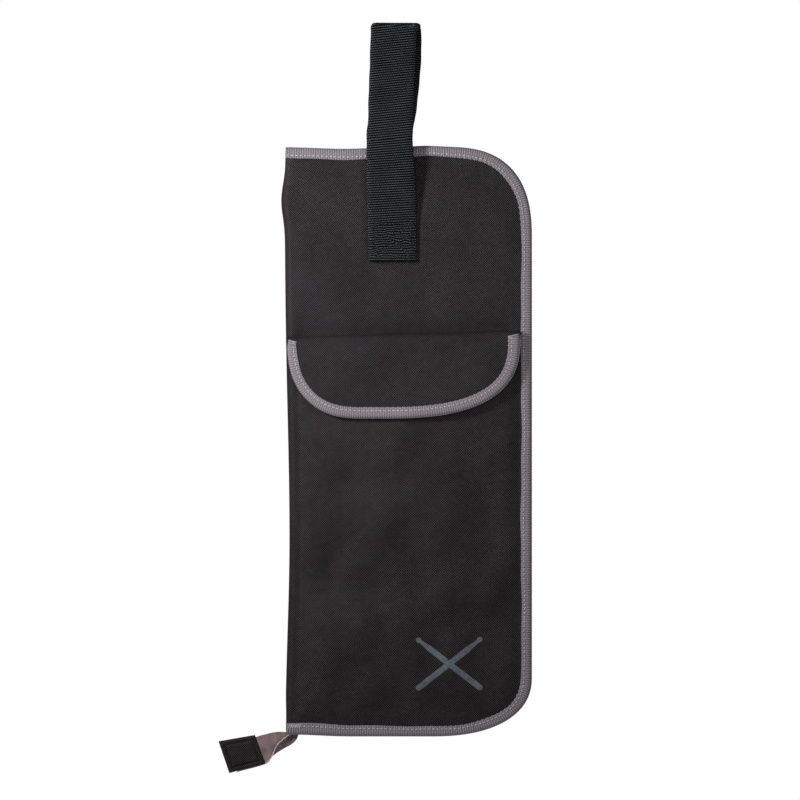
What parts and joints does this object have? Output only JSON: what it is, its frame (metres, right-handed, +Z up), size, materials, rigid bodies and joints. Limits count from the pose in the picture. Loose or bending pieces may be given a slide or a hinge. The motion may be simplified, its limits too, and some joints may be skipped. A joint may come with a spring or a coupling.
{
  "type": "drum stick bag",
  "caption": "Padded book-opening bag for drum sticks, zipped on three sides, with inner stick pockets, a flap pocket and a webbing hanging loop.",
  "frame": {"origin": "inside top of the webbing hanging loop, in the middle of the webbing's width", "axes": "+X to the right seen from the front, +Z up, the outer pocket faces -Y"},
  "size_m": [0.2461, 0.0446, 0.5927],
  "materials": {
    "shell_fabric": "black woven polyester, matt",
    "pocket_fabric": "black woven polyester, matt",
    "lining": "smooth black woven nylon",
    "foam": "closed cell foam sheet",
    "binding": "grey ribbed polyester tape",
    "webbing": "black ribbed polypropylene webbing",
    "zipper_tape": "taupe woven zipper tape",
    "zipper_teeth": "moulded nylon coil",
    "metal": "dark nickel plating",
    "hook_and_loop": "black hook and loop tape",
    "thread": "black bonded thread",
    "print": "flat screen print ink"
  },
  "bodies": {
    "bag_back": {"back_panel": "shell_fabric", "back_padding": "foam", "back_lining": "lining", "back_binding": "binding", "stick_pocket_back": "pocket_fabric", "stick_pocket_back_seams": "thread", "stick_pocket_back_hem": "binding", "zipper_tape_back": "zipper_tape", "zipper_coil_back": "zipper_teeth", "zipper_stop_back": "metal"},
    "spine": {"spine_panel": "shell_fabric", "spine_lining": "lining"},
    "bag_front": {"front_panel": "shell_fabric", "front_padding": "foam", "front_lining": "lining", "front_binding": "binding", "stick_pocket_front": "pocket_fabric", "stick_pocket_front_seams": "thread", "stick_pocket_front_hem": "binding", "zipper_tape_front": "zipper_tape", "zipper_coil_front": "zipper_teeth", "zipper_stop_front": "metal", "outer_pocket_panel": "shell_fabric", "outer_pocket_hem": "shell_fabric", "pocket_loop_strip": "hook_and_loop", "printed_emblem": "print", "flap_seam_strip": "shell_fabric", "handle_sewn_end": "webbing", "handle_stitching": "thread"},
    "flap": {"flap_panel": "shell_fabric", "flap_lining": "lining", "flap_binding": "binding", "flap_hook_strip": "hook_and_loop"},
    "handle": {"handle_loop": "webbing"},
    "slider": {"zipper_slider": "metal"},
    "pull": {"zipper_pull": "metal"},
    "tail": {"zipper_tail": "zipper_tape", "zipper_end_tab": "shell_fabric"}
  },
  "joints": [
    {"name": "spine_fold", "type": "hinge", "parent": "bag_back", "child": "spine", "pos_m": [-0.087, 0.0336, -0.329], "axis": [0, 0, -1], "range_deg": [0, 90]},
    {"name": "cover_fold", "type": "hinge", "parent": "spine", "child": "bag_front", "pos_m": [-0.087, 0.0026, -0.329], "axis": [0, 0, -1], "range_deg": [0, 90]},
    {"name": "flap_fold", "type": "hinge", "parent": "bag_front", "child": "flap", "pos_m": [0.0065, -0.0076, -0.245], "axis": [-0.9996, 0, -0.0279], "range_deg": [0, 150]},
    {"name": "handle_fold", "type": "hinge", "parent": "bag_front", "child": "handle", "pos_m": [0, -0.0016, -0.153], "axis": [1, 0, 0], "range_deg": [0, 120]},
    {"name": "slider_travel", "type": "slide", "parent": "bag_back", "child": "slider", "axis": [1, 0, 0], "range_m": [0, 0.13]},
    {"name": "pull_swing", "type": "hinge", "parent": "slider", "child": "pull", "pos_m": [-0.077, 0.0181, -0.0976], "axis": [0, -1, 0], "range_deg": [0, 170]},
    {"name": "tail_swing", "type": "hinge", "parent": "spine", "child": "tail", "pos_m": [-0.08, 0.0181, -0.56], "axis": [0, -1, 0], "range_deg": [0, 60]}
  ],
  "couplings": [
    {"joint": "cover_fold", "follows": "spine_fold", "ratio": 1}
  ]
}
